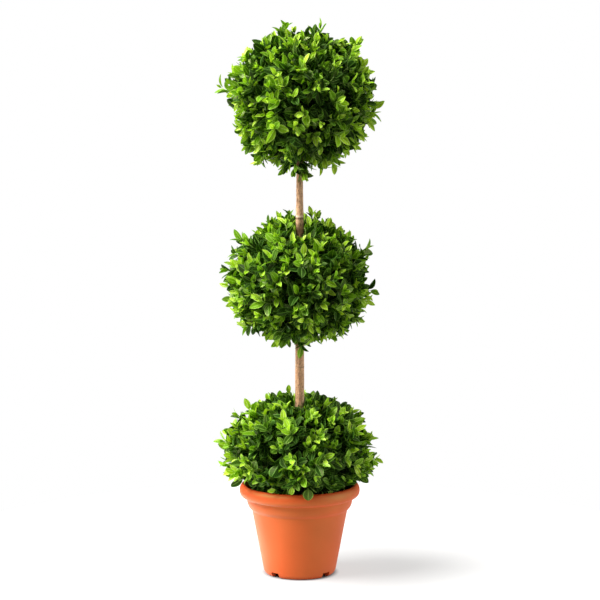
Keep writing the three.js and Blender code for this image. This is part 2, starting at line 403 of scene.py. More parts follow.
# Colours in layers, each over the one before: the noise's scale, detail and stretch, the span of
# the noise over which the layer comes in, and its colour
EVEN = (1, 1, 1)
BARK_COLOUR = (0.49, 0.25, 0.12)
BARK_LAYERS = {
    "patches": ((46, 3, (1, 1, 0.5)), (0.35, 0.68), (0.70, 0.43, 0.25)),
    "streaks": ((420, 4, (1, 1, 0.16)), (0.5, 0.72), (0.20, 0.115, 0.06)),
    "specks": ((900, 2, EVEN), (0.62, 0.74), (0.66, 0.52, 0.38)),
    "pits": ((330, 2, (1, 1, 0.7)), (0.53, 0.66), (0.27, 0.15, 0.08)),
    "rings": ((130, 2, (0.12, 0.12, 1)), (0.60, 0.70), (0.25, 0.14, 0.075)),
}
SOIL_COLOUR = (0.012, 0.008, 0.005)
SOIL_LAYERS = {
    "crumbs": ((260, 4, EVEN), (0.35, 0.65), (0.05, 0.032, 0.02)),
    "chips": ((90, 2, EVEN), (0.62, 0.72), (0.11, 0.065, 0.035)),
}
CLAY_COLOUR = (0.61, 0.052, 0.010)
CLAY_LAYERS = {
    "clouds": ((14, 3, EVEN), (0.3, 0.7), (0.65, 0.058, 0.012)),
}

# Bands round the trunk at its knot: height from the knot, half width and colour
KNOT_BANDS = [(-3, 4, (0.17, 0.09, 0.045)), (1.5, 3, (0.82, 0.64, 0.48))]
KNOT_BAND_SHARE = 0.7
BAND_CORE = 0.2
BARK_ROUGHNESS = 0.82
SOIL_ROUGHNESS = 0.95

# Finish of the pot: the noises of its grain and of the smears in its gloss, and its sheen
POT_GRAIN = (900, 2, EVEN)
POT_SMEARS = (34, 4, (1, 1, 0.35))
POT_ROUGHNESS = (0.50, 0.66)
POT_DIFFUSE_ROUGHNESS = 1.0
POT_GLOSS = 1.0
POT_SHEEN_TINT = (0.1, 0.97, 0.30, 1)

# Bump in the materials, as its depth in metres and its strength
LEAF_BUMP = (0.0004, 0.6)
STEM_BUMP = (0.0002, 0.5)
BARK_BUMP = (0.0006, 0.6)
SOIL_BUMP = (0.002, 0.8)
POT_BUMP = (0.00015, 0.4)


# Scene

def add_object(name, data):
    added = bpy.data.objects.new(name, data)
    bpy.context.scene.collection.objects.link(added)
    return added


def make_camera():
    data = bpy.data.cameras.new("camera")
    data.sensor_width = SENSOR_WIDTH
    data.lens = SENSOR_WIDTH * FOCAL_PIXELS / FRAME_PIXELS
    camera = add_object("camera", data)
    aside = (FRAME_PIXELS / 2 - AXIS_COLUMN) * CAMERA_DISTANCE / FOCAL_PIXELS
    camera.location = (aside, -CAMERA_DISTANCE, CAMERA_HEIGHT)
    camera.rotation_euler = (math.radians(90 - CAMERA_PITCH), 0, 0)
    bpy.context.scene.camera = camera


def make_sky():
    """A white background for the camera, and a dim one for all else."""
    world = bpy.data.worlds.new("studio")
    bpy.context.scene.world = world
    world.use_nodes = True
    nodes, links = world.node_tree.nodes, world.node_tree.links
    background = nodes["Background"]
    background.inputs["Color"].default_value = (1, 1, 1, 1)
    light_path = nodes.new("ShaderNodeLightPath")
    strength = nodes.new("ShaderNodeMapRange")
    strength.inputs["To Min"].default_value = SKY_STRENGTH
    strength.inputs["To Max"].default_value = 1.0
    links.new(light_path.outputs["Is Camera Ray"], strength.inputs["Value"])
    links.new(strength.outputs["Result"], background.inputs["Strength"])


def make_floor():
    mesh = bpy.data.meshes.new("floor")
    turns = [2 * math.pi * k / FLOOR_SEGMENTS for k in range(FLOOR_SEGMENTS)]
    corners = [(FLOOR_RADIUS * math.cos(turn), FLOOR_RADIUS * math.sin(turn), 0) for turn in turns]
    mesh.from_pydata(corners, [], [tuple(range(FLOOR_SEGMENTS))])
    floor = add_object("floor", mesh)
    mesh.materials.append(floor_material())


def make_lights():
    """Broad, even lights from far away: the wider the angle, the softer the shadows."""
    for name, (from_direction, strength, angle) in LIGHTS.items():
        data = bpy.data.lights.new(name, "SUN")
        data.energy = strength
        data.angle = math.radians(angle)
        light = add_object(name, data)
        light.rotation_euler = Vector(from_direction).to_track_quat("Z", "Y").to_euler()
        light.visible_glossy = name not in MATT_LIGHTS


def make_stage():
    make_sky()
    make_floor()
    make_lights()
    bpy.context.scene.view_settings.view_transform = "Standard"


# Materials

def new_material(name):
    material = bpy.data.materials.new(name)
    material.use_nodes = True
    tree = material.node_tree
    return material, tree.nodes["Principled BSDF"], tree


def math_node(tree, operation, first, second=None):
    node = tree.nodes.new("ShaderNodeMath")
    node.operation = operation
    for socket, value in zip(node.inputs, (first, second)):
        if value is None:
            continue
        if isinstance(value, (int, float)):
            socket.default_value = value
        else:
            tree.links.new(value, socket)
    return node.outputs[0]


def times(tree, first, second):
    return math_node(tree, "MULTIPLY", first, second)


def mix_colours(tree, factor, first, second, blend="MIX"):
    """A mix of two colours: a mix node has its factor, colours and result at these places."""
    node = tree.nodes.new("ShaderNodeMix")
    node.data_type = "RGBA"
    node.blend_type = blend
    for place, value in ((0, factor), (6, first), (7, second)):
        socket = node.inputs[place]
        if isinstance(value, bpy.types.NodeSocket):
            tree.links.new(value, socket)
        elif isinstance(value, tuple):
            socket.default_value = (*value, 1)
        else:
            socket.default_value = value
    return node.outputs[2]


def step_between(tree, value, span):
    """A smooth step from nothing at the span's start to one at its end."""
    node = tree.nodes.new("ShaderNodeMapRange")
    node.interpolation_type = "SMOOTHSTEP"
    node.inputs["From Min"].default_value, node.inputs["From Max"].default_value = span
    tree.links.new(value, node.inputs["Value"])
    return node.outputs["Result"]


def band(tree, value, centre, half_width):
    """One at the centre, falling to nothing at the half width."""
    away = math_node(tree, "ABSOLUTE", math_node(tree, "SUBTRACT", value, centre))
    return math_node(tree, "SUBTRACT", 1.0, step_between(tree, away, (BAND_CORE * half_width, half_width)))


def object_place(tree):
    return tree.nodes.new("ShaderNodeTexCoord").outputs["Object"]


def axes_of(tree, vector):
    parts = tree.nodes.new("ShaderNodeSeparateXYZ")
    tree.links.new(vector, parts.inputs[0])
    return parts.outputs


def noise_value(tree, place, scale, detail, stretch):
    mapping = tree.nodes.new("ShaderNodeMapping")
    mapping.inputs["Scale"].default_value = stretch
    tree.links.new(place, mapping.inputs["Vector"])
    node = tree.nodes.new("ShaderNodeTexNoise")
    node.inputs["Scale"].default_value = scale
    node.inputs["Detail"].default_value = detail
    tree.links.new(mapping.outputs["Vector"], node.inputs["Vector"])
    return node.outputs["Fac"]


def layered_colour(tree, place, colour, layers):
    """The colour with every layer over it, and the noise of each layer by its name."""
    noises = {}
    for name, (pattern, span, tint) in layers.items():
        noises[name] = noise_value(tree, place, *pattern)
        colour = mix_colours(tree, step_between(tree, noises[name], span), colour, tint)
    return colour, noises


def add_bump(tree, shader, height, distance, strength):
    bump = tree.nodes.new("ShaderNodeBump")
    bump.inputs["Distance"].default_value = distance
    bump.inputs["Strength"].default_value = strength
    tree.links.new(height, bump.inputs["Height"])
    tree.links.new(bump.outputs["Normal"], shader.inputs["Normal"])


def own_map(tree):
    """The two directions of a piece's own map: round or across it, and along it."""
    uv = tree.nodes.new("ShaderNodeUVMap")
    uv.uv_map = "OFBake"
    across, along, _ = axes_of(tree, uv.outputs["UV"])
    return across, along


def floor_material():
    material, shader, tree = new_material("studio_floor")
    shader.inputs["Base Color"].default_value = FLOOR_COLOUR
    shader.inputs["Roughness"].default_value = FLOOR_ROUGHNESS
    shader.inputs["Emission Color"].default_value = GLOW_COLOUR
    place = object_place(tree)
    distance = tree.nodes.new("ShaderNodeVectorMath")
    distance.operation = "LENGTH"
    tree.links.new(place, distance.inputs[0])
    near = step_between(tree, distance.outputs["Value"], NEAR_GLOW_SPAN)
    far = step_between(tree, distance.outputs["Value"], FAR_GLOW_SPAN)
    glow = math_node(tree, "ADD", times(tree, near, NEAR_GLOW), times(tree, far, FAR_GLOW))
    leftward = step_between(tree, times(tree, axes_of(tree, place)[0], -1.0), MIRRORED_GLOW_SPAN)
    mirrored = tree.nodes.new("ShaderNodeLightPath").outputs["Is Glossy Ray"]
    sheen = times(tree, times(tree, leftward, mirrored), MIRRORED_GLOW)
    tree.links.new(math_node(tree, "ADD", glow, sheen), shader.inputs["Emission Strength"])
    return material


def leaf_material(kind):
    """A leaf with a pale midrib, faint side veins and a pale margin, partly a painted edge highlight, all
    from the leaf's own map.
    """
    base, pale, roughness, gloss = LEAF_CLASSES[kind]
    material, shader, tree = new_material("leaf_" + kind)
    across, along = own_map(tree)
    aside = math_node(tree, "ABSOLUTE", math_node(tree, "SUBTRACT", times(tree, across, 2.0), 1.0))
    midrib = math_node(tree, "SUBTRACT", 1.0, step_between(tree, aside, MIDRIB_SPAN))
    # The pale margin: partly the leaf's own colour, partly a painted highlight on its edge
    margin = step_between(tree, aside, MARGIN_GLINT_SPAN)
    wave = math_node(tree, "SUBTRACT", times(tree, along, VEIN_RATE), times(tree, aside, VEIN_SLANT))
    veins = step_between(tree, math_node(tree, "SINE", wave), VEIN_SPAN)
    shaded = tuple(LEAF_FOOT_SHADE * channel for channel in base)
    colour = mix_colours(tree, step_between(tree, along, LEAF_FOOT_SPAN), shaded, base)
    for marking, share in ((veins, VEIN_SHARE), (midrib, MIDRIB_SHARE), (margin, MARGIN_GLINT_SHARE)):
        colour = mix_colours(tree, times(tree, marking, share), colour, pale)
    tree.links.new(colour, shader.inputs["Base Color"])
    shader.inputs["Roughness"].default_value = roughness
    shader.inputs["Specular IOR Level"].default_value = gloss
    shader.inputs["Specular Tint"].default_value = LEAF_SHEEN_TINT
    add_bump(tree, shader, math_node(tree, "ADD", times(tree, veins, VEIN_RELIEF), midrib), *LEAF_BUMP)
    let_light_through(tree, shader, colour)
    return material


def let_light_through(tree, shader, colour):
    """Mixes in a translucent share, so that a leaf with the light behind it glows yellow-green."""
    warmed = mix_colours(tree, 1.0, colour, THROUGH_TINT, "MULTIPLY")
    through = tree.nodes.new("ShaderNodeBsdfTranslucent")
    tree.links.new(warmed, through.inputs["Color"])
    blend = tree.nodes.new("ShaderNodeMixShader")
    blend.inputs["Fac"].default_value = THROUGH_SHARE
    tree.links.new(shader.outputs["BSDF"], blend.inputs[1])
    tree.links.new(through.outputs["BSDF"], blend.inputs[2])
    tree.links.new(blend.outputs["Shader"], tree.nodes["Material Output"].inputs["Surface"])


def stem_material(name, root, tip, streak):
    """Bark or green rind of a thin stem, from the stem's own map: round it and along it."""
    material, shader, tree = new_material(name)
    around, along = own_map(tree)
    wave = math_node(tree, "SINE", math_node(
        tree, "ADD", times(tree, along, STREAK_RATE_ALONG), times(tree, around, STREAK_RATE_AROUND),
    ))
    aged = mix_colours(tree, step_between(tree, along, STEM_AGE_SPAN), root, tip)
    marks = times(tree, step_between(tree, wave, STREAK_SPAN), STREAK_SHARE)
    tree.links.new(mix_colours(tree, marks, aged, streak), shader.inputs["Base Color"])
    shader.inputs["Roughness"].default_value = STEM_ROUGHNESS
    add_bump(tree, shader, wave, *STEM_BUMP)
    return material


def bark_material():
    """Streaked, pitted bark, with a pale and a dark band at the knot."""
    material, shader, tree = new_material("trunk_bark")
    place = object_place(tree)
    colour, noises = layered_colour(tree, place, BARK_COLOUR, BARK_LAYERS)
    height = axes_of(tree, place)[2]
    for above, half_width, tint in KNOT_BANDS:
        mark = band(tree, height, (KNOT_HEIGHT + above) * MM, half_width * MM)
        colour = mix_colours(tree, times(tree, mark, KNOT_BAND_SHARE), colour, tint)
    tree.links.new(colour, shader.inputs["Base Color"])
    shader.inputs["Roughness"].default_value = BARK_ROUGHNESS
    raised = math_node(tree, "ADD", noises["streaks"], noises["specks"])
    add_bump(tree, shader, math_node(tree, "SUBTRACT", raised, noises["pits"]), *BARK_BUMP)
    return material


def pot_material():
    """Moulded plastic in the colour of clay, with faint clouds, a fine grain and smeared gloss."""
    material, shader, tree = new_material("pot_plastic")
    place = object_place(tree)
    colour, _ = layered_colour(tree, place, CLAY_COLOUR, CLAY_LAYERS)
    tree.links.new(colour, shader.inputs["Base Color"])
    rough = tree.nodes.new("ShaderNodeMapRange")
    rough.inputs["To Min"].default_value, rough.inputs["To Max"].default_value = POT_ROUGHNESS
    tree.links.new(noise_value(tree, place, *POT_SMEARS), rough.inputs["Value"])
    tree.links.new(rough.outputs["Result"], shader.inputs["Roughness"])
    shader.inputs["Diffuse Roughness"].default_value = POT_DIFFUSE_ROUGHNESS
    shader.inputs["Specular IOR Level"].default_value = POT_GLOSS
    shader.inputs["Specular Tint"].default_value = POT_SHEEN_TINT
    add_bump(tree, shader, noise_value(tree, place, *POT_GRAIN), *POT_BUMP)
    return material


def soil_material():
    material, shader, tree = new_material("potting_soil")
    colour, noises = layered_colour(tree, object_place(tree), SOIL_COLOUR, SOIL_LAYERS)
    tree.links.new(colour, shader.inputs["Base Color"])
    shader.inputs["Roughness"].default_value = SOIL_ROUGHNESS
    add_bump(tree, shader, noises["crumbs"], *SOIL_BUMP)
    return material


# Meshes

def add_piece(name, points, faces, material, replaced, corners=None):
    """A smooth-shaded piece from points in millimetres, and its faces' corners in its own map."""
    mesh = bpy.data.meshes.new(name)
    mesh.from_pydata((np.asarray(points) * MM).tolist(), [], faces)
    mesh.shade_smooth()
    if corners is not None:
        layer = mesh.uv_layers.new(name="OFBake")
        layer.data.foreach_set("uv", np.asarray(corners, dtype=np.float32).ravel())
    mesh.materials.append(material)
    piece = add_object(name, mesh)
    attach(piece, "root")
    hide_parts(replaced)
    return piece


def repeated(faces, count, size):
    """The faces of one form for a number of copies, each with the same number of points."""
    return [[i + copy * size for i in face] for copy in range(count) for face in faces]


def ringed_faces(rings, sides):
    """Faces of a closed form whose points lie in rings, one ring after another."""
    faces = []
    for ring in range(rings - 1):
        for k in range(sides):
            a, b = ring * sides + k, ring * sides + (k + 1) % sides
            faces.append((a, b, b + sides, a + sides))
    last = (rings - 1) * sides
    faces.append(tuple(range(sides - 1, -1, -1)))
    faces.append(tuple(range(last, last + sides)))
    return faces


def ringed_corners(rings, sides):
    """The corners of those faces in the form's own map: round it and along it."""
    corners = []
    for ring in range(rings - 1):
        low, high = ring / (rings - 1), (ring + 1) / (rings - 1)
        for k in range(sides):
            left, right = k / sides, (k + 1) / sides
            corners += [(left, low), (right, low), (right, high), (left, high)]
    corners += [(k / sides, END_MARGIN) for k in range(sides - 1, -1, -1)]
    corners += [(k / sides, 1 - END_MARGIN) for k in range(sides)]
    return corners


def tubes(paths, root_radius, tip_radius, sides):
    """Tapered tubes with closed ends along each path, as points, faces and corners of their map."""
    count, rings = paths.shape[:2]
    tangents = unit(np.gradient(paths, axis=1))
    reference = np.where(np.abs(tangents[..., 2:3]) > STEEP, [1.0, 0, 0], [0, 0, 1.0])
    side = unit(np.cross(reference, tangents))
    other = np.cross(tangents, side)
    radii = np.linspace(root_radius, tip_radius, rings)[None, :, None, None]
    turn = np.linspace(0, 2 * math.pi, sides, endpoint=False)[None, None, :, None]
    ring = side[:, :, None] * np.cos(turn) + other[:, :, None] * np.sin(turn)
    points = (paths[:, :, None] + radii * ring).reshape(-1, 3)
    faces = repeated(ringed_faces(rings, sides), count, rings * sides)
    return points, faces, np.tile(np.array(ringed_corners(rings, sides)), (count, 1))


def rounded(profile):
    """The profile with each inner corner replaced by a short arc."""
    line = [Vector(point) for point in profile]
    points = [line[0]]
    for before, corner, after in zip(line, line[1:], line[2:]):
        back, ahead = before - corner, after - corner
        start = corner + back.normalized() * min(EDGE_RADIUS, back.length * EDGE_SHARE)
        end = corner + ahead.normalized() * min(EDGE_RADIUS, ahead.length * EDGE_SHARE)
        for i in range(EDGE_STEPS + 1):
            t = i / EDGE_STEPS
            points.append((1 - t) ** 2 * start + 2 * t * (1 - t) * corner + t ** 2 * end)
    points.append(line[-1])
    return [tuple(point) for point in points]


def lathe(profile, segments):
    """Points and faces of a profile of (radius, height), from axis to axis, turned round Z."""
    inner = profile[1:-1]
    points = [(0, 0, profile[0][1]), (0, 0, profile[-1][1])]
    for radius, height in inner:
        for k in range(segments):
            angle = 2 * math.pi * k / segments
            points.append((radius * math.cos(angle), radius * math.sin(angle), height))
    faces = []
    for k in range(segments):
        ahead = (k + 1) % segments
        faces.append((0, 2 + ahead, 2 + k))
        for i in range(len(inner) - 1):
            a, b = 2 + i * segments, 2 + (i + 1) * segments
            faces.append((a + k, a + ahead, b + ahead, b + k))
        top = 2 + (len(inner) - 1) * segments
        faces.append((1, top + k, top + ahead))
    return points, faces


# Directions and spaces

def unit(vectors):
    return vectors / np.linalg.norm(vectors, axis=-1, keepdims=True)


def pointing(azimuth, elevation):
    """The unit vector of an azimuth and an elevation."""
    a, e = math.radians(azimuth), math.radians(elevation)
    return np.array([math.cos(a) * math.cos(e), math.sin(a) * math.cos(e), math.sin(e)])


def quadratic(start, bend, end, count):
    """Points along a quadratic curve for each row of start, bend and end."""
    t = np.linspace(0, 1, count)[None, :, None]
    start, bend, end = (np.atleast_2d(row)[:, None, :] for row in (start, bend, end))
    return (1 - t) ** 2 * start + 2 * t * (1 - t) * bend + t ** 2 * end


def seeded_random(seed):
    """The solids' random numbers: the same in the same order for each seed, from 0 to 1."""
    word = 0xFFFFFFFF
    state = seed & word

    def draw():
        nonlocal state
        state = (state + 0x6D2B79F5) & word
        mixed = ((state ^ (state >> 15)) * (state | 1)) & word
        mixed ^= (mixed + ((mixed ^ (mixed >> 7)) * (mixed | 61))) & word
        return ((mixed ^ (mixed >> 14)) & word) / (word + 1)

    return draw


def golden_directions(count, jitter, draw):
    """Directions spread evenly round a head by the golden angle, then jittered."""
    found = []
    for i in range(count):
        z = 1 - 2 / count * (i + 0.5 + jitter * (draw(i) - 0.5))
        angle = i * GOLDEN_ANGLE + jitter * (draw(i) - 0.5)
        flat = math.sqrt(max(0, 1 - z * z))
        found.append((flat * math.cos(angle), flat * math.sin(angle), z))
    return np.array(found)


def space_radius(head, directions):
    """How far a head reaches from its centre in each direction."""
    flat = np.hypot(directions[..., 0], directions[..., 1]) / head["reach"]
    upright = directions[..., 2] / np.where(directions[..., 2] > 0, head["up"], head["down"])
    return 1 / np.hypot(flat, upright)


def trunk_radius(height):
    taper = TRUNK_MEASURED_RADIUS + (TRUNK_MEASURED_HEIGHT - height) * TRUNK_TAPER
    flare = FLARE_RADIUS * np.exp((SOIL_TOP - height) / FLARE_HEIGHT)
    knot = KNOT_SWELLING * np.exp(-(((height - KNOT_HEIGHT) / KNOT_LENGTH) ** 2))
    return taper + flare + knot


def off_shown_trunk(points, shown):
    """Whether each point leaves the trunk open to the camera above the height from which it shows."""
    x, y, height = points[..., 0], points[..., 1], points[..., 2]
    before_trunk = (np.abs(x) < trunk_radius(height)) & (y < 0)
    view_slope = (CAMERA_HEIGHT / MM - shown) / (CAMERA_DISTANCE / MM)
    return ~(before_trunk & (height - y * view_slope > shown))


def keep_clear(head, points):
    """For each row of points: whether all keep to the head's space and clear of the pot and trunk."""
    in_box = ((points > LOWEST) & (points < HIGHEST)).all(axis=-1)
    offset = points - np.array([0, 0, head["centre"]])
    distance = np.linalg.norm(offset, axis=-1)
    inside = distance <= space_radius(head, offset / distance[..., None]) + LEAF_SLACK
    radius = np.hypot(points[..., 0], points[..., 1])
    height = points[..., 2]
    off_trunk = (radius > trunk_radius(height) + CLEARANCE) | (height > TRUNK_TOP + NEIGHBOUR_GAP)
    over_rim = height > POT_HEIGHT + NEIGHBOUR_GAP
    within_rim = (radius < RIM_INSIDE_RADIUS - RIM_GAP) & (height > SOIL_TOP + NEIGHBOUR_GAP)
    off_pot = over_rim | within_rim | (radius > RIM_RADIUS + NEIGHBOUR_GAP)
    clear = in_box & inside & off_trunk & off_pot
    if head["trunk_shows"] is not None:
        clear = clear & off_shown_trunk(points, head["trunk_shows"])
    return clear.all(axis=-1)


def above_fringe(points):
    """For each row of points: whether all are within the pot's rim or above the foliage's fringe."""
    radius = np.hypot(points[..., 0], points[..., 1])
    turn = np.arctan2(points[..., 1], points[..., 0]) - math.radians(FRINGE_SIDE)
    fringe = FRINGE_HEIGHT + FRINGE_TILT * np.cos(turn)
    return ((radius < RIM_INSIDE_RADIUS) | (points[..., 2] > fringe)).all(axis=-1)


# Leaves

def leaf_template():
    """Vertices of a leaf as (share of length, side), its faces, and their corners in the leaf's map."""
    grid = [(0.0, 0)]
    for t in LEAF_STATIONS:
        grid += [(t, -1), (t, 0), (t, 1)]
    grid.append((1.0, 0))
    last = len(grid) - 1
    faces = [(0, 2, 1), (0, 3, 2)]
    for station in range(len(LEAF_STATIONS) - 1):
        a = 1 + 3 * station
        faces += [(a, a + 1, a + 4, a + 3), (a + 1, a + 2, a + 5, a + 4)]
    a = last - 3
    faces += [(a, a + 1, last), (a + 1, a + 2, last)]
    corners = [((grid[i][1] + 1) / 2, grid[i][0]) for face in faces for i in face]
    return np.array(grid), faces, np.array(corners)


LEAF_GRID, LEAF_FACES, LEAF_CORNERS = leaf_template()


def fold_at_midribs(mesh):
    """Keeps the fold along each leaf's midrib sharp, so that its two halves catch the light apart."""
    ends = np.empty(2 * len(mesh.edges), dtype=np.int32)
    mesh.edges.foreach_get("vertices", ends)
    along_midrib = LEAF_GRID[ends % len(LEAF_GRID), 1] == 0
    folds = mesh.attributes.new("sharp_edge", "BOOLEAN", "EDGE")
    folds.data.foreach_set("value", along_midrib.reshape(-1, 2).all(axis=1))


def leaf_points(leaves):
    """Vertices of every leaf: an ovate outline, cupped across, arched and a little twisted."""
    t, side = LEAF_GRID[:, 0], LEAF_GRID[:, 1]
    length, width, roundness, arch, cup, twist = (
        leaves[key][:, None] for key in ("length", "width", "roundness", "arch", "cup", "twist")
    )
    blade = np.clip((t - LEAF_STALK) / (1 - LEAF_STALK), 0, 1)
    half = np.maximum(np.sin(math.pi * blade ** LEAF_SKEW) ** roundness, STALK_BREADTH) * side
    along = length * t * (1 - ARCH_SHORTENING * arch ** 2 * t ** 2)
    across = width / 2 * half
    lift = cup * np.abs(across) - arch * length * t ** 2 + twist * across * t
    return (
        leaves["base"][:, None]
        + along[..., None] * leaves["along"][:, None]
        + across[..., None] * leaves["across"][:, None]
        + lift[..., None] * leaves["up"][:, None]
    )


def stalk(tip, way):
    """A short straight path along the way to the tip."""
    return tip + np.linspace(-STALK_LENGTH, 0, STALK_POINTS)[:, None] * way


class Leaves:
    """Collects the leaves of every spray of a head, and the class of each."""

    def __init__(self, seed):
        self.rng = np.random.default_rng(seed)
        self.rows = []

    def grow(self, path, pairs, age, size=1.0):
        """Opposite pairs along a path's end, each turned a quarter from the last."""
        rng = self.rng
        steps = np.linalg.norm(np.diff(path, axis=0), axis=1)
        reached = np.concatenate([[0], np.cumsum(steps)])
        reference = unit(rng.normal(size=3))
        roll = rng.uniform(0, math.pi)
        older = rng.choice([0, 1], p=OLDER_ODDS)
        spread = rng.uniform(*SPRAY_OPENING_SPREAD)
        for pair in range(pairs):
            at = reached[-1] - PAIR_BELOW_TIP[pair] * size * rng.uniform(*PAIR_GAP_SPREAD)
            if at < 0:
                break
            behind, node, ahead = (
                np.array([np.interp(at + step, reached, path[:, axis]) for axis in range(3)])
                for step in (-AXIS_STEP, 0, AXIS_STEP)
            )
            axis = unit(ahead - behind)
            out = unit(np.cross(axis, reference))
            other = np.cross(axis, out)
            turn = roll + pair * math.pi / 2 + rng.normal(0, PAIR_TURN_SPREAD)
            for half in (0, math.pi):
                if rng.random() > LEAF_KEPT[pair]:
                    continue
                away = out * math.cos(turn + half) + other * math.sin(turn + half)
                opening = math.radians(PAIR_OPENING[pair] * spread + rng.normal(0, OPENING_SPREAD))
                oldness = age + PAIR_AGE[pair] + older + rng.choice(AGE_STEPS)
                kind = min(len(CLASS_NAMES) - 1, max(0, oldness))
                self.add(node, axis, away, opening, kind, size * PAIR_LENGTH[pair])

    def add(self, node, axis, away, opening, kind, size):
        """One leaf of a pair, tilted a little about its own length."""
        rng = self.rng
        along = axis * math.cos(opening) + away * math.sin(opening)
        level_up = axis * math.sin(opening) - away * math.cos(opening)
        level_across = np.cross(level_up, along)
        tilt = rng.normal(0, LEAF_TILT)
        length = LEAF_LENGTH * size * (1 + LEAF_LENGTH_SPREAD * rng.normal())
        breadth = LEAF_BREADTH[kind] + rng.normal(0, LEAF_BREADTH_SPREAD)
        if kind >= FIRST_ROUND_CLASS and rng.random() < ROUND_LEAF_SHARE:
            breadth += ROUND_LEAF_BREADTH
        self.rows.append({
            "base": node + away * TWIG_TIP_RADIUS * LEAF_ROOT_SHARE,
            "along": along,
            "across": level_across * math.cos(tilt) + level_up * math.sin(tilt),
            "up": level_up * math.cos(tilt) - level_across * math.sin(tilt),
            "length": length,
            "width": length * breadth,
            "roundness": LEAF_ROUNDNESS[kind],
            "arch": rng.uniform(*LEAF_ARCH),
            "cup": rng.uniform(*LEAF_CUP),
            "twist": rng.normal(0, LEAF_TWIST),
            "kind": kind,
            "hangs": False,
        })

    def hang(self, root, along, kind, length, breadth):
        """A single leaf that shows its upper side to the front."""
        across = unit(np.cross([0, -1, 0], along))
        self.rows.append({
            "base": root,
            "along": along,
            "across": across,
            "up": np.cross(along, across),
            "length": length,
            "width": length * breadth,
            "roundness": LEAF_ROUNDNESS[kind],
            "arch": HANGING_ARCH,
            "cup": HANGING_CUP,
            "twist": 0.0,
            "kind": kind,
            "hangs": True,
        })

    def arrays(self):
        return {key: np.array([row[key] for row in self.rows]) for key in self.rows[0]}


# Heads of foliage

def centre_of(head):
    return np.array([0, 0, head["centre"]])


def bough_directions(head):
    """The directions of the solids' twigs, which the boughs follow."""
    draws = [seeded_random(BOUGH_SEED_STEP * head["seed"] + i) for i in range(BOUGHS)]
    return golden_directions(BOUGHS, PLACE_JITTER, lambda i: draws[i]())


def grow_boughs(head, directions):
    """Paths from within the trunk out along each direction."""
    radius = space_radius(head, directions)[:, None]
    ends = centre_of(head) + directions * radius * BOUGH_SHARE
    starts = centre_of(head) + directions * [0, 0, 1] * radius * BOUGH_RISE
    level = unit(directions * [1, 1, NEARLY_LEVEL])
    starts = starts + level * trunk_radius(starts[:, 2:3]) * BOUGH_SUNK
    bends = (starts + ends) / 2 + np.array([0, 0, -BOUGH_SAG]) * radius
    return quadratic(starts, bends, ends, BOUGH_POINTS)


def spray_tips(head, rng):
    """The sprays' directions and the points that they reach, the strays last."""
    spread = golden_directions(head["sprays"], SPRAY_JITTER, lambda i: rng.random())
    outer = unit(spread + rng.normal(0, SPRAY_WANDER, spread.shape))
    shares = rng.uniform(*TWIG_REACH, len(outer))
    shift = Vector((head["seed"], 0, 0))
    shares = shares + [LUMP_SIZE * noise.noise(Vector(way) * LUMP_SCALE + shift) for way in outer]
    for azimuth, elevation, change in head["lumps"]:
        nearness = np.clip(outer @ pointing(azimuth, elevation), 0, 1)
        shares = shares + change * nearness ** LUMP_SHARPNESS
    outer = np.vstack([outer, [pointing(azimuth, elevation) for azimuth, elevation, _ in head["strays"]]])
    shares = np.append(shares, [share for _, _, share in head["strays"]])
    reached = space_radius(head, outer) * shares * head["fullness"]
    return outer, centre_of(head) + head["offset"] + outer * reached[:, None]


def grow_twigs(head, rng, directions, boughs):
    """Paths from the nearest bough to each spray's tip. The strays have random numbers of their own."""
    outer, tips = spray_tips(head, rng)
    stray_rng = np.random.default_rng(head["seed"] + STRAY_SEED_STEP)
    groups = ((rng, head["sprays"]), (stray_rng, len(head["strays"])))
    first, last = TWIG_FIRST_JOINT, BOUGH_POINTS - 1
    joints = np.concatenate([draws.uniform(first, last, count) for draws, count in groups])
    wander = np.vstack([draws.normal(0, TWIG_WANDER, (count, 3)) for draws, count in groups])
    nearest = np.argmax(outer @ directions.T, axis=1)
    below = np.floor(joints).astype(int)
    above = np.minimum(below + 1, last)
    part = (joints - below)[:, None]
    roots = boughs[nearest, below] * (1 - part) + boughs[nearest, above] * part
    upturn = head["upturn"] * np.outer((1 + outer[:, 2]) / 2, [0, 0, 1])
    ending = unit(outer + upturn + wander)
    reach = np.linalg.norm(tips - roots, axis=1, keepdims=True)
    twigs = quadratic(roots, tips - ending * reach * TWIG_BEND, tips, TWIG_POINTS)
    return twigs[keep_clear(head, twigs[:, TWIG_HIDDEN_POINTS:])]


def grow_inside(head, rng, leaves):
    """Old sprays inside the head, which close it to the eye; their darkest leaves are painted shade."""
    inner = unit(golden_directions(INNER_SPRAYS, INNER_JITTER, lambda i: rng.random()))
    astray = unit(inner + rng.normal(0, INNER_WANDER, inner.shape))
    reached = space_radius(head, inner) * rng.uniform(*INNER_REACH, len(inner))
    for tip, way in zip(centre_of(head) + inner * reached[:, None], astray):
        leaves.grow(stalk(tip, way), INNER_PAIRS, INNER_AGE, INNER_SIZE)


def grow_rim(leaves):
    """Old sprays in rings over the pot's rim, and the single leaves that hang there."""
    rng = np.random.default_rng(RIM_SEED)
    for count, radii, heights in RIM_RINGS:
        for i in range(count):
            angle = 2 * math.pi * i / count + rng.normal(0, RIM_TURN_SPREAD)
            out = np.array([math.cos(angle), math.sin(angle), 0])
            tip = out * rng.uniform(*radii) + [0, 0, rng.uniform(*heights)]
            way = unit(out + [0, 0, rng.uniform(*RIM_UPTURN)] + rng.normal(0, RIM_WANDER, 3))
            leaves.grow(stalk(tip, way), RIM_PAIRS, rng.choice(RIM_AGES))
    for root, way, kind, length, breadth in HANGING:
        leaves.hang(np.array(root), unit(np.array(way)), CLASS_NAMES.index(kind), length, breadth)


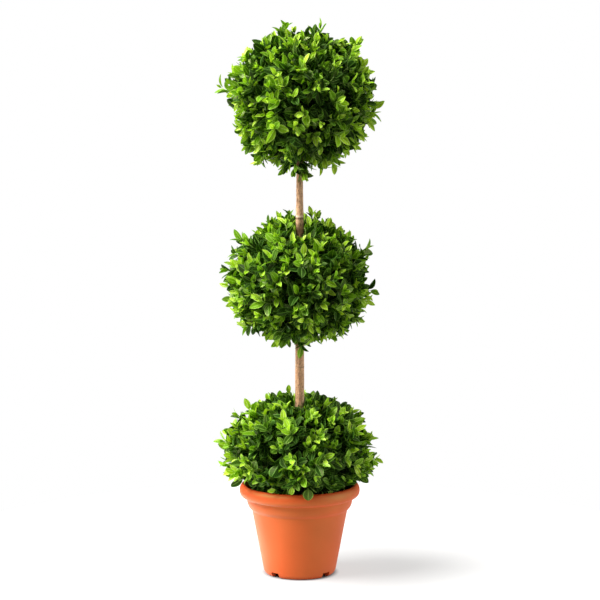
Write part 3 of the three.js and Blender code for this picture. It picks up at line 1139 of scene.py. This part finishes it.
def grow_head(head):
    """The paths of a head's boughs and twigs, and its leaves."""
    rng = np.random.default_rng(head["seed"])
    directions = bough_directions(head)
    boughs = grow_boughs(head, directions)
    twigs = grow_twigs(head, rng, directions, boughs)
    leaves = Leaves(head["seed"] + LEAF_SEED_STEP)
    for path in twigs:
        age = rng.choice(SPRAY_AGES, p=head["ages"])
        leaves.grow(path, len(PAIR_BELOW_TIP), age, rng.uniform(*SPRAY_SIZE))
    grow_inside(head, rng, leaves)
    if head["name"] == "bottom":
        grow_rim(leaves)
    return boughs, twigs, leaves.arrays()


def make_head(head, leaf_materials, bark, rind):
    node = "foliage_" + head["name"]
    boughs, twigs, leaves = grow_head(head)
    points, faces, corners = tubes(boughs, BOUGH_ROOT_RADIUS, BOUGH_TIP_RADIUS, BOUGH_SIDES)
    add_piece(head["name"] + "_boughs", points, faces, bark, node, corners)
    points, faces, corners = tubes(twigs, TWIG_ROOT_RADIUS, TWIG_TIP_RADIUS, TWIG_SIDES)
    add_piece(head["name"] + "_twigs", points, faces, rind, node, corners)
    shapes = leaf_points(leaves)
    kept = keep_clear(head, shapes) & (leaves["hangs"] | above_fringe(shapes))
    for index, kind in enumerate(CLASS_NAMES):
        chosen = shapes[kept & (leaves["kind"] == index)]
        points = chosen.reshape(-1, 3)
        faces = repeated(LEAF_FACES, len(chosen), len(LEAF_GRID))
        corners = np.tile(LEAF_CORNERS, (len(chosen), 1))
        name = head["name"] + "_leaves_" + kind
        piece = add_piece(name, points, faces, leaf_materials[kind], node, corners)
        fold_at_midribs(piece.data)


def make_heads():
    leaf_materials = {kind: leaf_material(kind) for kind in CLASS_NAMES}
    bark = stem_material("bough_bark", *BOUGH_COLOURS)
    rind = stem_material("twig_rind", *RIND_COLOURS)
    for head in HEADS:
        make_head(head, leaf_materials, bark, rind)


# Trunk

def on_trunk(angle, height, rates):
    """A place for the bark's noise, which changes at the given rates round the trunk and along it."""
    around, along = rates
    return Vector((math.cos(angle) * around, math.sin(angle) * around, height * along))


def trunk_relief(angle, height):
    """How far the bark stands out: long ridges, fine grain, and scars where shoots were taken off."""
    ridges = noise.fractal(on_trunk(angle, height, RIDGE_RATES), *FRACTAL)
    grain = noise.noise(on_trunk(angle, height, GRAIN_RATES))
    relief = RIDGE_RELIEF * ridges + GRAIN_RELIEF * grain
    for scar_height, scar_angle in SCARS:
        across = (angle - scar_angle + math.pi) % (2 * math.pi) - math.pi
        away = ((height - scar_height) / SCAR_HEIGHT) ** 2 + (across / SCAR_ANGLE) ** 2
        relief += SCAR_SWELLING * math.exp(-away) - SCAR_PIT * math.exp(-away * SCAR_PIT_SHARPNESS)
    return relief


def make_trunk():
    steps = int((TRUNK_TOP - SOIL_TOP) / TRUNK_STEP)
    points = []
    for i in range(steps + 1):
        height = SOIL_TOP + (TRUNK_TOP - SOIL_TOP) * i / steps
        fade = math.sqrt(min(1, (TRUNK_TOP - height) / TRUNK_TIP_HEIGHT))
        smooth = trunk_radius(height) * (TRUNK_TIP_SHARE + (1 - TRUNK_TIP_SHARE) * fade)
        for k in range(TRUNK_SIDES):
            angle = 2 * math.pi * k / TRUNK_SIDES
            radius = smooth + trunk_relief(angle, height)
            points.append((radius * math.cos(angle), radius * math.sin(angle), height))
    faces = ringed_faces(steps + 1, TRUNK_SIDES)
    add_piece("trunk_bark", points, faces, bark_material(), "trunk")


# Pot and soil

def notch_cutter():
    """The four blocks that cut the notches through the pot's foot, as one mesh object."""
    build = bmesh.new()
    depth = NOTCH_OUTER_RADIUS - NOTCH_INNER_RADIUS
    for i in range(NOTCH_COUNT):
        block = bmesh.ops.create_cube(build, size=MM)["verts"]
        bmesh.ops.scale(build, verts=block, vec=(depth, NOTCH_WIDTH, 2 * NOTCH_HEIGHT))
        bmesh.ops.translate(build, verts=block, vec=((NOTCH_INNER_RADIUS + depth / 2) * MM, 0, 0))
        turn = NOTCH_TURN + 2 * math.pi * (i + 0.5) / NOTCH_COUNT
        bmesh.ops.rotate(build, verts=block, matrix=Matrix.Rotation(turn, 3, "Z"))
    mesh = bpy.data.meshes.new("notch_cutter")
    build.to_mesh(mesh)
    build.free()
    return add_object("notch_cutter", mesh)


def make_pot():
    outside = [(0, FOOT_RECESS), *FOOT_RING, WALL_FOOT, *COLLAR, *ROLLED_RIM]
    points, faces = lathe(rounded([*outside, *POT_INSIDE, (0, FLOOR_TOP)]), POT_SEGMENTS)
    pot = add_piece("moulded_pot", points, faces, pot_material(), "pot")
    cutter = notch_cutter()
    cut = pot.modifiers.new("notches", "BOOLEAN")
    cut.object = cutter
    cut.operation = "DIFFERENCE"
    bpy.context.view_layer.update()
    evaluated = pot.evaluated_get(bpy.context.evaluated_depsgraph_get())
    finished = bpy.data.meshes.new_from_object(evaluated)
    pot.modifiers.clear()
    pot.data = finished
    finished.shade_smooth()
    finished.set_sharp_from_angle(angle=math.radians(SHARP_EDGE))
    bpy.data.objects.remove(cutter)


def make_soil():
    foot = FLOOR_TOP + CLEARANCE
    side = [(radius - CLEARANCE, max(height, foot)) for radius, height in POT_INSIDE if height < SOIL_TOP]
    top = [(SOIL_TOP_RADIUS * (1 - i / SOIL_RINGS), SOIL_TOP) for i in range(SOIL_RINGS)]
    points, faces = lathe([(0, foot), *side[::-1], *top, (0, SOIL_TOP)], SOIL_SEGMENTS)
    crumbled = []
    for x, y, z in points:
        if z == SOIL_TOP and math.hypot(x, y) > SOIL_LEVEL_RADIUS:
            z += SOIL_RELIEF * noise.fractal(Vector((x, y, 0)) * SOIL_RATE, *FRACTAL)
        crumbled.append((x, y, z))
    add_piece("soil_filling", crumbled, faces, soil_material(), "soil")


make_camera()
make_stage()
make_pot()
make_soil()
make_trunk()
make_heads()
